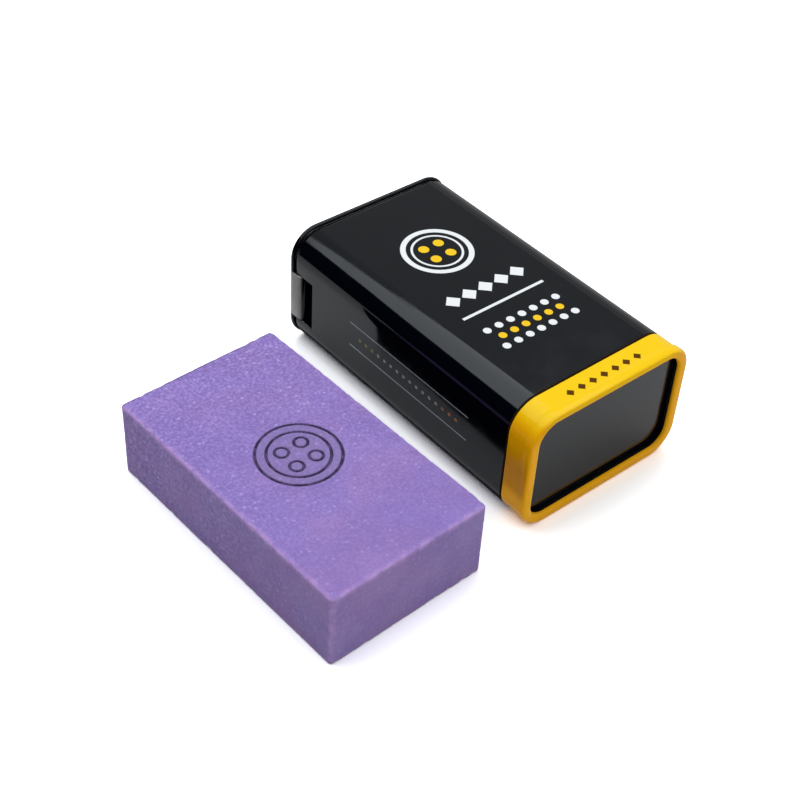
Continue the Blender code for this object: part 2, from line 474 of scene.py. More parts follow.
@dataclass(frozen=True)
class GlossEnamel(Finish):
    """Stoved black enamel on tinplate, with faint orange peel and handling haze."""

    name: str = "gloss_black_enamel"
    colour: Colour = (0.0008, 0.0013, 0.0034)
    roughness: float = 0.07
    haze: float = 0.05
    haze_scale: float = 90.0
    peel: float = 0.05
    peel_scale: float = 900.0
    peel_depth: float = 0.00002
    gloss: float = 1.38
    tint: tuple[float, float, float, float] = (0.92, 0.97, 1.0, 1.0)
    dust: Colour = (0.012, 0.012, 0.013)
    dust_scale: float = 260.0
    dust_share: float = 0.25

    def surface(self, graph: Graph) -> Sockets:
        """Give the sockets that all enamelled faces share.

        Args:
            graph: The material's tree.

        Returns:
            IOR, Specular Tint, Roughness and Normal.
        """
        haze = graph.noise(self.haze_scale, 4.0, 0.6)
        peel = graph.noise(self.peel_scale, 1.0)
        return {
            "IOR": self.gloss,
            "Specular Tint": self.tint,
            "Roughness": self.roughness + graph.ramp(haze, 0.42, 0.72) * self.haze,
            "Normal": graph.bump(peel, self.peel, self.peel_depth),
        }

    def coloured(self, graph: Graph) -> NodeSocket:
        """Give the enamel's own colour under a little dust."""
        dust = graph.ramp(graph.noise(self.dust_scale, 5.0, 0.7), 0.60, 0.85)
        return graph.blend(dust * self.dust_share, self.colour, self.dust)

    def build(self, graph: Graph) -> Sockets:
        """Give the shared sockets and the enamel's colour."""
        return {**self.surface(graph), "Base Color": self.coloured(graph)}


@dataclass(frozen=True)
class BaseEnamel(GlossEnamel):
    """The base plate's black enamel, a little glossier than the print."""

    name: str = "gloss_black_base_enamel"
    gloss: float = 1.45
    tint: tuple[float, float, float, float] = (0.98, 0.99, 1.0, 1.0)


@dataclass(frozen=True)
class SleeveEnamel(GlossEnamel):
    """Enamel that knows where it lies on the sleeve, in millimetres."""

    origin: Vector = field(default_factory=Vector)
    depth: float = 33.1
    face_starts: float = 0.8
    face_full: float = 0.7

    def on_broad_face(self, graph: Graph, w: Value) -> Value:
        """Give 1 on the broad face and 0 elsewhere, by the height above the floor."""
        return graph.ramp(w, self.depth - self.face_starts, self.depth - self.face_full)


@dataclass(frozen=True)
class PrintedEnamel(SleeveEnamel):
    """The sleeve's black print with its generic marks."""

    name: str = "printed_black_enamel"
    yellow: Colour = from_display(250, 203, 22)
    white: Colour = from_display(238, 240, 242)
    grey: Colour = from_display(150, 152, 156)
    orange: Colour = from_display(176, 104, 52)
    ochre: Colour = from_display(140, 120, 40)
    ring_halves: tuple[float, float] = (0.70, 0.30)

    def coloured(self, graph: Graph) -> NodeSocket:
        """Give the black under its inks.

        Args:
            graph: The material's tree.

        Returns:
            The colour.
        """
        u, v, w = graph.axes(self.origin)
        broad = self.on_broad_face(graph, w)
        narrow = graph.fall(u, self.face_full, self.face_starts)
        layers = [(covered(mark) * broad, ink) for mark, ink in self.broad_marks(u, v)]
        layers += [(covered(mark) * narrow, ink) for mark, ink in self.narrow_marks(w, v)]
        return graph.layered(super().coloured(graph), layers)

    def broad_marks(self, u: Value, v: Value) -> list[tuple[Value, Colour]]:
        """Give the broad face's button, diamonds, rule and dots.

        Args:
            u: Millimetres from the hinged side.
            v: Millimetres from the base.

        Returns:
            Pairs of distance and ink.
        """
        badge = Emblem(25.2, 62.5)
        marks = [(abs(ring.distance(u, v)) - half, self.white)
                 for ring, half in zip(badge.rings(), self.ring_halves)]
        shapes = [
            *[(dot, self.yellow) for dot in badge.dots()],
            (DiamondRow(12.2, 5.2, 5, 44.6, 2.3), self.white),
            (Lozenge(25.2, 38.0, 13.0, 0.42), self.white),
            (DotRow(12.25, 3.7, 7, 31.6, 1.05), self.white),
            (DotRow(14.10, 3.7, 6, 28.2, 1.05), self.yellow),
            (DotRow(12.25, 3.7, 7, 24.8, 1.05), self.white),
        ]
        return marks + [(shape.distance(u, v), ink) for shape, ink in shapes]

    def narrow_marks(self, w: Value, v: Value) -> list[tuple[Value, Colour]]:
        """Give the hinged side's row of dots between two rules.

        Args:
            w: Millimetres up the side.
            v: Millimetres from the base.

        Returns:
            Pairs of distance and ink.
        """
        shapes = [
            (Lozenge(43.0, 20.8, 22.0, 0.20), self.grey),
            (Lozenge(43.0, 13.8, 22.0, 0.20), self.grey),
            (DotRow(23.8, 2.4, 3, 17.3, 0.50), self.orange),
            (DotRow(31.0, 2.4, 10, 17.3, 0.50), self.grey),
            (DotRow(55.0, 2.4, 3, 17.3, 0.50), self.ochre),
        ]
        return [(shape.distance(v, w), ink) for shape, ink in shapes]


@dataclass(frozen=True)
class YellowEnamel(SleeveEnamel):
    """The yellow band round the base, with diamonds, painted shade on its sides and rim, and a
    painted highlight.
    """

    name: str = "printed_yellow_enamel"
    gloss: float = 1.20
    yellow: Colour = from_display(251, 209, 26)
    patchy: Colour = from_display(250, 199, 16)
    patch_scale: float = 60.0
    # The yellow as it looks in painted shade, for the band's sides and the rim's face.
    shaded_amber: Colour = from_display(254, 180, 8)
    # Deeper painted shade, for the middle height of the band's sides.
    deeper_shaded_amber: Colour = from_display(206, 132, 2)
    # Painted highlight, for the line along the rim's inner lip.
    pale: Colour = from_display(255, 226, 118)
    brown: Colour = from_display(92, 56, 2)

    def coloured(self, graph: Graph) -> NodeSocket:
        """Give the yellow under its painted shade, its painted highlight and its label.

        Args:
            graph: The material's tree.

        Returns:
            The colour.
        """
        u, v, w = graph.axes(self.origin)
        patch = graph.noise(self.patch_scale, 3.0) * 0.6
        yellow = graph.blend(patch, self.yellow, self.patchy)
        # Painted shade: orange-yellow everywhere below the broad face, on the sides, the underside
        # and the lower corners.
        low = graph.fall(w, 28.5, 32.8)
        # Painted shade: orange-yellow on the rim's face, less on the outer part of its top run.
        rim = graph.fall(v, 0.2, 1.1) * (1.0 - graph.ramp(w, 30.9, 32.6) * 0.85)
        # Painted shade: a darker zone across the middle height of the band's sides, standing in
        # for a dark reflection; kept off the rim's face.
        middle = graph.ramp(w, 8.5, 12.0) * graph.fall(w, 17.0, 25.0)
        middle = middle * (1.0 - rim) * 0.75
        shaded_amber = graph.blend(middle, self.shaded_amber, self.deeper_shaded_amber)
        # Painted highlight: a pale line along the inner lip of the rim's run on the hinged side.
        lip = covered(abs(u - 2.05) - 0.22) * graph.ramp(w, 3.5, 6.0)
        lip = lip * graph.fall(w, 25.0, 28.0) * graph.fall(v, 0.9, 1.1)
        label = covered(DiamondRow(12.6, 3.6, 7, 4.1, 1.15).distance(u, v))
        return graph.layered(yellow, [
            (larger(low, rim), shaded_amber),
            (lip * 0.8, self.pale),
            (label * self.on_broad_face(graph, w), self.brown),
        ])


@dataclass(frozen=True)
class ScuffedEnamel(GlossEnamel):
    """Black enamel gone matt from rubbing where the tin slides on its back."""

    name: str = "scuffed_black_enamel"
    roughness: float = 0.42
    haze: float = 0.20
    peel: float = 0.12
    gloss: float = 1.12


@dataclass(frozen=True)
class KeylineInk(GlossEnamel):
    """The dull dark brown line where the black print laps over the yellow."""

    name: str = "dull_brown_keyline"
    colour: Colour = from_display(40, 26, 10)
    gloss: float = 1.02


@dataclass(frozen=True)
class WornAndHighlightedEnamel(GlossEnamel):
    """Black enamel that shows grey on the tongue's outside, partly as wear through to metal and
    partly as painted highlight; black in its roll.
    """

    name: str = "worn_and_highlighted_tongue_enamel"
    hinge: Vector = field(default_factory=Vector)
    # The grey: partly metal where the enamel wears through, partly painted highlight on the roll.
    wear_and_highlight: Colour = (0.26, 0.242, 0.232)
    wear_and_highlight_scale: float = 500.0

    def coloured(self, graph: Graph) -> NodeSocket:
        """Give the enamel with its grey of wear and painted highlight.

        Args:
            graph: The material's tree.

        Returns:
            The colour.
        """
        _, along, _ = graph.axes(self.hinge)
        patchy = 0.6 + graph.noise(self.wear_and_highlight_scale, 3.0, 0.7) * 0.6
        # Painted highlight and wear: grey on the tongue's outside leg and upper roll, in patches.
        tongue_wear_and_highlight = graph.ramp(along, -2.0, -1.3) * patchy
        return graph.blend(graph.clamp(tongue_wear_and_highlight), self.colour, self.wear_and_highlight)


@dataclass(frozen=True)
class BareMetal(Finish):
    """Bare metal with a grain."""

    bright: Colour = (0.62, 0.61, 0.57)
    dull: Colour = (0.46, 0.45, 0.42)
    grain: Point = (420.0, 4.0, 0.7)
    smooth: float = 0.24
    rougher: float = 0.16
    relief: float = 0.08
    relief_depth: float = 0.00002

    def build(self, graph: Graph) -> Sockets:
        """Give metal with its grain.

        Args:
            graph: The material's tree.

        Returns:
            The sockets and what feeds them.
        """
        grain = graph.noise(*self.grain)
        return {
            "Base Color": graph.blend(grain, self.bright, self.dull),
            "Metallic": 1.0,
            "Roughness": self.smooth + grain * self.rougher,
            "Normal": graph.bump(grain, self.relief, self.relief_depth),
        }


@dataclass(frozen=True)
class TinLacquer(BareMetal):
    """Bare tinplate under clear lacquer, as inside the tin."""

    name: str = "clear_lacquered_tinplate"


@dataclass(frozen=True)
class SteelWire(BareMetal):
    """Bright drawn wire with fine scratches."""

    name: str = "drawn_steel_wire"
    bright: Colour = (0.56, 0.57, 0.59)
    dull: Colour = (0.38, 0.38, 0.40)
    grain: Point = (3000.0, 3.0, 0.6)
    smooth: float = 0.28
    rougher: float = 0.14
    relief: float = 0.10
    relief_depth: float = 0.00001


@dataclass(frozen=True)
class GrittyRubber(Finish):
    """Purple rubber bond with grit, edges paler by wear and painted highlight, and painted shade.
    """

    name: str = "gritty_purple_rubber"
    body: Colour = from_display(144, 122, 195)
    rosy: Colour = from_display(152, 123, 190)
    deep: Colour = from_display(122, 98, 168)
    pale: Colour = from_display(168, 146, 213)
    glint: Colour = from_display(206, 192, 238)
    # Painted shade: the upright faces' tone, warmer and less blue than the top's.
    side_shade: Colour = from_display(147, 127, 183)
    rosy_side_shade: Colour = from_display(152, 126, 180)
    # Pale tone along the edges: partly wear, partly painted highlight.
    edge: Colour = from_display(188, 152, 212)
    # Painted shadow in the badge's pressed grooves.
    groove: Colour = from_display(54, 39, 80)
    # A darker, greyer tone inside the badge, beside its grooves.
    near_groove_tone: Colour = from_display(128, 112, 162)
    # Painted shade: a dark line along the foot, as contact shadow, and along the far top edge.
    edge_shade_tone: Colour = from_display(78, 63, 106)
    cloud_scale: float = 120.0
    tinge_scale: float = 75.0
    lump_scale: float = 1300.0
    grain_scale: float = 1150.0
    blotch_scale: float = 420.0
    pore_scale: float = 5200.0
    relief: float = 0.40
    relief_depth: float = 0.00010

    def build(self, graph: Graph) -> Sockets:
        """Give the gritty rubber.

        Args:
            graph: The material's tree.

        Returns:
            The sockets and what feeds them.
        """
        cloud = graph.noise(self.cloud_scale, 4.0, 0.6)
        tinge = graph.ramp(graph.noise(self.tinge_scale, 3.0), 0.36, 0.64)
        lump = graph.noise(self.lump_scale)
        distance, number = graph.cells(self.grain_scale)
        grain = graph.fall(distance, 0.15, 0.62)
        sparkle = grain * graph.fall(number, 0.06, 0.08)
        blotch = graph.ramp(graph.noise(self.blotch_scale, 2.0, 0.6), 0.42, 0.58)
        coarse = graph.attribute("coarse")
        wear_and_highlight = graph.attribute("wear_and_highlight") * (0.60 + blotch * 0.55)
        pressed = graph.ramp(graph.attribute("pressed"), 0.15, 0.70)
        side_shade = graph.blend(tinge, self.side_shade, self.rosy_side_shade)
        colour = graph.layered(graph.blend(tinge, self.body, self.rosy), [
            # Painted shade on the upright faces.
            (graph.attribute("side_shade"), side_shade),
            (graph.ramp(cloud, 0.35, 0.65) * 0.34, self.deep),
            (graph.ramp(lump, 0.46, 0.70) * coarse * 0.50, self.deep),
            (graph.fall(lump, 0.32, 0.54) * coarse * 0.40, self.pale),
            (grain * graph.ramp(number, 0.66, 0.76) * coarse * 0.45, self.deep),
            (grain * graph.fall(number, 0.28, 0.36) * coarse * 0.50, self.pale),
            (sparkle * coarse * 0.30, self.glint),
            # Paler along the edges: partly wear, partly painted highlight, in blotches.
            (graph.ramp(wear_and_highlight, 0.0, 0.90) * 0.70, self.edge),
            # Darker inside the badge beside its grooves, in patches.
            (graph.attribute("near_grooves") * (0.3 + lump * 0.5), self.near_groove_tone),
            # Painted shade along the foot and the far top edge, in patches.
            (graph.attribute("painted_edge_shade") * (0.40 + blotch * 0.35), self.edge_shade_tone),
            # Painted shadow in the pressed grooves, darkest where they are deepest.
            (pressed * (0.74 + blotch * 0.26), self.groove),
        ])
        height = (1.0 - distance) * 0.6 + graph.noise(self.pore_scale) * 0.4
        return {
            "Base Color": colour,
            "Roughness": 0.90 - sparkle * 0.12,
            "Normal": graph.bump(height, self.relief, self.relief_depth),
        }


def linked(name: str, data: ID) -> Object:
    """Make an object and put it into the scene.

    Args:
        name: Its name.
        data: Its mesh, light or camera.

    Returns:
        The object.
    """
    thing = bpy.data.objects.new(name, data)
    bpy.context.scene.collection.objects.link(thing)
    return thing


def object_of(bm: BMesh, name: str, materials: Sequence[Material]) -> Object:
    """Turn a bmesh into an object at the origin.

    Args:
        bm: The shape, with its place in its vertices.
        name: The object's name.
        materials: Its materials, by material index.

    Returns:
        The object.
    """
    mesh = bpy.data.meshes.new(name)
    bm.to_mesh(mesh)
    bm.free()
    for material in materials:
        mesh.materials.append(material)
    return linked(name, mesh)


def piece_of(bm: BMesh, name: str, finishes: Sequence[Finish],
             sharp: float = math.radians(38)) -> Object:
    """Turn a bmesh into a piece in its finishes.

    Args:
        bm: The shape, with its place in its vertices.
        name: The piece's name.
        finishes: Its finishes, by material index.
        sharp: Angle past which an edge is drawn sharp.

    Returns:
        The piece.
    """
    piece = object_of(bm, name, [finish.material() for finish in finishes])
    piece.data.shade_smooth()
    piece.data.set_sharp_from_angle(angle=sharp)
    return piece


def baked(thing: Object) -> Object:
    """Replace an object's mesh by what its modifiers make of it.

    Args:
        thing: The object.

    Returns:
        The same object without modifiers.
    """
    graph = bpy.context.evaluated_depsgraph_get()
    final = bpy.data.meshes.new_from_object(thing.evaluated_get(graph), depsgraph=graph)
    thing.modifiers.clear()
    thing.data = final
    return thing


def arc(centre: tuple[float, float], radius: float, start: float, turn: float, steps: int,
        index: int = 0) -> Profile:
    """Give the points along an arc, both ends included.

    Args:
        centre: The arc's centre.
        radius: Its radius.
        start: Its first angle.
        turn: The angle that it covers.
        steps: The number of chords.
        index: The material of the faces that lead to each point.

    Returns:
        The points.
    """
    points = []
    for step in range(steps + 1):
        angle = start + turn * step / steps
        x = centre[0] + radius * math.cos(angle)
        y = centre[1] + radius * math.sin(angle)
        points.append((x, y, index))
    return points


@dataclass
class SheetPress:
    """Presses a profile round the tin's rounded section.

    The section is given by the sleeve's outer faces. A profile's points are an offset from
    that face, a place along the tin and the material of the faces that lead there.
    """

    middle: Vector
    width: float
    depth: float
    radius: float
    steps: int = 20

    def stations(self) -> Stations:
        """Go round the section.

        Returns:
            The centre and outward direction of each point.
        """
        half_x = self.width / 2 - self.radius
        half_z = self.depth / 2 - self.radius
        found: Stations = []
        for quarter, (side_x, side_z) in enumerate(((1, 1), (-1, 1), (-1, -1), (1, -1))):
            centre = self.middle + Vector((side_x * half_x, 0, side_z * half_z))
            for step in range(self.steps + 1):
                angle = (quarter + step / self.steps) * math.pi / 2
                found.append((centre, Vector((math.cos(angle), 0, math.sin(angle)))))
        return found

    def press(self, profile: Profile, capped: bool) -> BMesh:
        """Extrude the section ring by ring along the profile.

        Args:
            profile: The points, from first to last ring.
            capped: Whether the last ring gets a flat panel.

        Returns:
            The open surface, its faces outwards.
        """
        stations = self.stations()
        count = len(stations)
        bm = bmesh.new()
        number = bm.verts.layers.int.new("station")

        def put(vertices: list[BMVert], offset: float, y: float) -> None:
            """Move a ring's vertices to their places.

            Args:
                vertices: The ring.
                offset: Its distance outside the section.
                y: Its place along the tin.
            """
            for vertex in vertices:
                centre, outward = stations[vertex[number]]
                reach = outward * (self.radius + offset)
                vertex.co = Vector((centre.x, 0, centre.z)) + reach + Vector((0, y, 0))

        def runs_round(edge: BMEdge) -> bool:
            """Say whether an edge is part of a ring."""
            apart = abs(edge.verts[0][number] - edge.verts[1][number])
            return edge.is_boundary and apart in (1, count - 1)

        ring = [bm.verts.new() for _ in stations]
        for index, vertex in enumerate(ring):
            vertex[number] = index
        put(ring, profile[0][0], profile[0][1])
        edges = [bm.edges.new((ring[i], ring[(i + 1) % count])) for i in range(count)]
        for offset, y, index in profile[1:]:
            made = bmesh.ops.extrude_edge_only(bm, edges=edges)["geom"]
            put([item for item in made if isinstance(item, BMVert)], offset, y)
            edges = [item for item in made if isinstance(item, BMEdge)]
            for edge in edges:
                for face in edge.link_faces:
                    face.material_index = index
            edges = [edge for edge in edges if runs_round(edge)]
        if capped:
            cap = bmesh.ops.contextual_create(bm, geom=edges)["faces"]
            for face in cap:
                face.material_index = profile[-1][2]
        return self.outwards(bm)

    def outwards(self, bm: BMesh) -> BMesh:
        """Turn the surface so that its outermost face looks away from the tin's axis.

        Args:
            bm: The open surface.

        Returns:
            The same surface.
        """
        def across(face: BMFace) -> Vector:
            """Give the way from the axis to a face."""
            away = face.calc_center_median() - self.middle
            return Vector((away.x, 0, away.z))

        bmesh.ops.recalc_face_normals(bm, faces=bm.faces)
        bm.normal_update()
        outermost = max(bm.faces, key=lambda face: across(face).length)
        if outermost.normal.dot(across(outermost)) < 0:
            bmesh.ops.reverse_faces(bm, faces=bm.faces)
        return bm


def give_wall(thing: Object, sheet: float, inside: int) -> None:
    """Give an open surface its wall, towards its back.

    Args:
        thing: The surface.
        sheet: The wall's thickness.
        inside: How far the inner faces' material index lies from the outer faces'.
    """
    wall = thing.modifiers.new("sheet", "SOLIDIFY")
    wall.thickness = sheet
    wall.offset = -1
    wall.use_even_offset = True
    wall.use_quality_normals = True
    wall.material_offset = inside
    wall.material_offset_rim = inside


def settle_normals(thing: Object) -> None:
    """Let flat faces keep their flat shading beside their rounded edges.

    Args:
        thing: The piece.
    """
    even = thing.modifiers.new("even_shading", "WEIGHTED_NORMAL")
    even.mode = "FACE_AREA"
    even.weight = 80
    even.keep_sharp = True


@dataclass
class TinSizes:
    """Sizes of the tin, read from the frame where it gives them."""

    sheet: float = 0.4 * MM
    rim_proud: float = 0.3 * MM
    corner: float = 7.4 * MM
    rim_width: float = 2.5 * MM
    band: float = 7.8 * MM
    keyline: float = 0.65 * MM
    rim_height: float = 2.4 * MM
    rim_shoulder: float = 0.5 * MM
    rim_bend: float = 0.9 * MM
    recess: float = 2.0 * MM
    flange: float = 3.4 * MM
    seat: float = 0.3 * MM
    curl: float = 1.2 * MM
    curl_turn: float = math.radians(250)
    lid_rim_height: float = 1.15 * MM
    lid_rim_bend: float = 0.5 * MM
    lid_hem: float = 0.8 * MM
    lid_hem_bend: float = 0.5 * MM
    lid_sink: float = 3.0 * MM
    lid_bend: float = 0.8 * MM
    plug_gap: float = 0.35 * MM
    tongue_proud: float = 0.4 * MM
    tongue_sheet: float = 0.45 * MM
    tongue_roll: float = 1.9 * MM
    tongue_drop: float = 0.5 * MM
    tongue_turn: float = math.radians(155)
    tongue_width: float = 13.6 * MM
    notch: float = 7.5 * MM
    scuffed: float = -0.22
    tray_bend: float = 0.8 * MM
    tongue_edge: float = 0.08 * MM
    bead_turn: float = 105.0
    bead_knee: float = 0.68
    bead_extra: float = 235.0
    bend_steps: int = 8
    roll_steps: int = 18
    curl_steps: int = 22
    low: Vector = field(default_factory=lambda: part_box("tin_body")[0])
    high: Vector = field(default_factory=lambda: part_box("tin_body")[1])
    end: float = field(default_factory=lambda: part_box("lid")[1].y)
    hinge: Vector = field(default_factory=lambda: Vector(frame["joints"][0]["pos_m"]))

    @property
    def middle(self) -> Vector:
        """The middle of the sleeve's section, at its base end."""
        return Vector(((self.low.x + self.high.x) / 2, 0, (self.low.z + self.high.z) / 2))

    @property
    def base(self) -> float:
        """The place of the base rim's face."""
        return self.low.y

    @property
    def mouth(self) -> float:
        """The place of the mouth's end."""
        return self.end - self.lid_rim_height - self.seat

    def press(self) -> SheetPress:
        """Give the press for this tin's section.

        Returns:
            The press.
        """
        width = self.high.x - self.low.x - 2 * self.rim_proud
        depth = self.high.z - self.low.z - 2 * self.rim_proud
        return SheetPress(self.middle, width, depth, self.corner)


@dataclass
class TinPiece:
    """A piece of the tin, pressed from sheet to the tin's sizes."""

    sizes: TinSizes

    def walled(self, bm: BMesh, name: str, finishes: Sequence[Finish]) -> Object:
        """Turn an open surface into a piece of sheet that is lined with its last finish.

        Args:
            bm: The surface.
            name: The piece's name.
            finishes: Its finishes, by material index.

        Returns:
            The piece, its wall and shading still as modifiers.
        """
        piece = piece_of(bm, name, finishes)
        give_wall(piece, self.sizes.sheet, len(finishes) - 1)
        settle_normals(piece)
        return piece


class Sleeve(TinPiece):
    """The printed sleeve: mouth curl, wall, rolled rim and hinge notch."""

    def profile(self) -> Profile:
        """Draw the outer face, from the curl's inner end to the rim's inner lip.

        Returns:
            The profile.
        """
        s = self.sizes
        curl_centre = (-s.curl, s.mouth - s.curl)
        points = arc(curl_centre, s.curl, s.curl_turn, -s.curl_turn, s.curl_steps)
        points += [
            (0.0, s.base + s.band + s.keyline, Coat.PRINT),
            (0.0, s.base + s.band, Coat.KEYLINE),
            (0.0, s.base + s.rim_height + s.rim_shoulder, Coat.YELLOW),
            (s.rim_proud, s.base + s.rim_height, Coat.YELLOW),
        ]
        outer = (s.rim_proud - s.rim_bend, s.base + s.rim_bend)
        points += arc(outer, s.rim_bend, 0, -math.pi / 2, s.bend_steps, Coat.YELLOW)
        inner = (s.rim_bend - s.rim_width, s.base + s.rim_bend)
        points += arc(inner, s.rim_bend, -math.pi / 2, -math.pi / 2, s.bend_steps,
                      Coat.YELLOW)
        points.append((-s.rim_width, s.base + s.recess - s.seat, Coat.INNER_LIP))
        return points

    def cut_notch(self, bm: BMesh) -> None:
        """Cut the hinge notch out of the hinged side's wall and curl.

        Args:
            bm: The open outer surface.
        """
        s = self.sizes
        half = s.tongue_width / 2 + s.seat
        foot = s.mouth - s.notch
        reach = s.low.x + s.rim_proud + 2 * s.curl + s.seat

        def side() -> list[Any]:
            """Find the hinged side past the notch's foot.

            Returns:
                Its faces, edges and vertices.
            """
            faces = [f for f in bm.faces if max(v.co.x for v in f.verts) < reach
                     and max(v.co.y for v in f.verts) > foot]
            edges = {edge for face in faces for edge in face.edges}
            verts = {vert for face in faces for vert in face.verts}
            return [*faces, *edges, *verts]

        for point, normal in (((0, 0, s.hinge.z - half), (0, 0, 1)),
                              ((0, 0, s.hinge.z + half), (0, 0, 1)),
                              ((0, foot, 0), (0, 1, 0))):
            bmesh.ops.bisect_plane(bm, geom=side(), plane_co=point, plane_no=normal,
                                   dist=1e-7)
        inside = []
        for face in bm.faces:
            centre = face.calc_center_median()
            if centre.x < reach and centre.y > foot and abs(centre.z - s.hinge.z) < half:
                inside.append(face)
        bmesh.ops.delete(bm, geom=inside, context="FACES")

    def build(self) -> Object:
        """Build the sleeve.

        Returns:
            The piece.
        """
        s = self.sizes
        bm = s.press().press(self.profile(), False)
        for face in bm.faces:
            if face.material_index == Coat.PRINT and face.normal.z < s.scuffed:
                face.material_index = Coat.SCUFFED
        self.cut_notch(bm)
        origin = Vector((s.low.x + s.rim_proud, s.base, s.low.z + s.rim_proud))
        finishes = [PrintedEnamel(origin=origin), YellowEnamel(origin=origin), GlossEnamel(),
                    ScuffedEnamel(), KeylineInk(), TinLacquer()]
        piece = self.walled(bm, "printed_sleeve", finishes)
        self.round_rim(baked(piece))
        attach(piece, Body.TIN.value)
        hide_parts("tin_body")
        return piece

    def round_rim(self, piece: Object) -> None:
        """Shade the rim's face as one round bead, as thick enamel does.

        Args:
            piece: The finished sleeve.
        """
        s = self.sizes
        press = s.press()
        core = (press.width / 2 - press.radius, math.inf, press.depth / 2 - press.radius)
        mesh = piece.data
        normals = [corner.vector.copy() for corner in mesh.corner_normals]
        for face in mesh.polygons:
            if face.material_index != Coat.YELLOW:
                continue
            for corner in face.loop_indices:
                place = mesh.vertices[mesh.loops[corner].vertex_index].co
                if place.y > s.base + s.rim_bend - 1e-6:
                    continue
                away = place - s.middle
                held = Vector([max(-most, min(most, part)) for part, most in zip(away, core)])
                outward = away - held
                share = press.radius + s.rim_proud - outward.length
                share /= s.rim_proud + s.rim_width
                past_knee = max(0.0, share - s.bead_knee)
                angle = math.radians(s.bead_turn * share + s.bead_extra * past_knee)
                outward.normalize()
                rounded = outward * math.cos(angle) - Vector((0, math.sin(angle), 0))
                normals[corner] = normals[corner].lerp(rounded, max(0.0, outward.z))
        mesh.normals_split_custom_set(normals)


class BasePlate(TinPiece):
    """The pressed tray behind the rim."""

    def profile(self) -> Profile:
        """Draw the outer face, from the flange's end to the panel.

        Returns:
            The profile.
        """
        s = self.sizes
        bend = s.tray_bend
        flange = -s.sheet - s.seat
        points: Profile = [(flange, s.base + s.recess + s.flange, 0)]
        centre = (flange - bend, s.base + s.recess + bend)
        points += arc(centre, bend, 0, -math.pi / 2, s.bend_steps)
        return points

    def build(self) -> Object:
        """Build the plate.

        Returns:
            The piece.
        """
        bm = self.sizes.press().press(self.profile(), True)
        piece = self.walled(bm, "enamelled_base_plate", [BaseEnamel(), TinLacquer()])
        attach(baked(piece), Body.TIN.value)
        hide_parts("base_plate")
        return piece


class PlugLid(TinPiece):
    """The hinged plug lid and its rolled tongue."""

    def profile(self) -> Profile:
        """Draw the outer face, from the hem to the sunk panel.

        Returns:
            The profile.
        """
        s = self.sizes
        foot = s.end - s.lid_rim_height
        points: Profile = [(-s.lid_hem, foot, 0)]
        hem = (s.rim_proud - s.lid_hem_bend, foot + s.lid_hem_bend)
        points += arc(hem, s.lid_hem_bend, -math.pi / 2, math.pi / 2, s.bend_steps)
        crown = s.end - s.lid_rim_bend
        outer = (s.rim_proud - s.lid_rim_bend, crown)
        points += arc(outer, s.lid_rim_bend, 0, math.pi / 2, s.bend_steps)
        rim = 2 * s.curl + s.plug_gap + s.sheet
        points += arc((s.lid_rim_bend - rim, crown), s.lid_rim_bend, math.pi / 2,
                      math.pi / 2, s.bend_steps)
        panel = (-rim - s.lid_bend, s.end - s.lid_sink + s.lid_bend)
        points += arc(panel, s.lid_bend, 0, -math.pi / 2, s.bend_steps)
        return points

    def build(self) -> list[Object]:
        """Build the lid and its tongue.

        Returns:
            The pieces.
        """
        s = self.sizes
        bm = s.press().press(self.profile(), True)
        lid = self.walled(bm, "enamelled_lid", [GlossEnamel(), TinLacquer()])
        pieces = [baked(lid), self.tongue()]
        for piece in pieces:
            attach(piece, Body.LID.value)
        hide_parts("lid")
        return pieces

    def tongue(self) -> Object:
        """Build the strip that is rolled round the hinge wire.

        Returns:
            The piece.
        """
        s = self.sizes
        outside = -s.curl - s.tongue_proud
        crown = s.end - s.lid_rim_bend - s.hinge.y
        roll = (outside + s.tongue_roll, -s.tongue_drop)
        line = [(outside, crown, 0),
                *arc(roll, s.tongue_roll, math.pi, s.tongue_turn, s.roll_steps)]
        bm = bmesh.new()
        low = s.hinge - Vector((0, 0, s.tongue_width / 2))
        bends = [bm.verts.new(low + Vector((x, y, 0))) for x, y, _ in line]
        edges = [bm.edges.new(pair) for pair in zip(bends, bends[1:])]
        made = bmesh.ops.extrude_edge_only(bm, edges=edges)["geom"]
        moved = [item for item in made if isinstance(item, BMVert)]
        bmesh.ops.translate(bm, verts=moved, vec=(0, 0, s.tongue_width))
        bmesh.ops.recalc_face_normals(bm, faces=bm.faces)
        bm.normal_update()
        leg = min(bm.faces, key=lambda face: face.calc_center_median().x)
        if leg.normal.x > 0:
            bmesh.ops.reverse_faces(bm, faces=bm.faces)
        piece = piece_of(bm, "hinge_tongue", [WornAndHighlightedEnamel(hinge=s.hinge), TinLacquer()])
        give_wall(piece, s.tongue_sheet, 1)
        edge = piece.modifiers.new("rolled_edges", "BEVEL")
        edge.width = s.tongue_edge
        edge.segments = 2
        edge.limit_method = "ANGLE"
        edge.angle_limit = math.radians(60)
        return baked(piece)


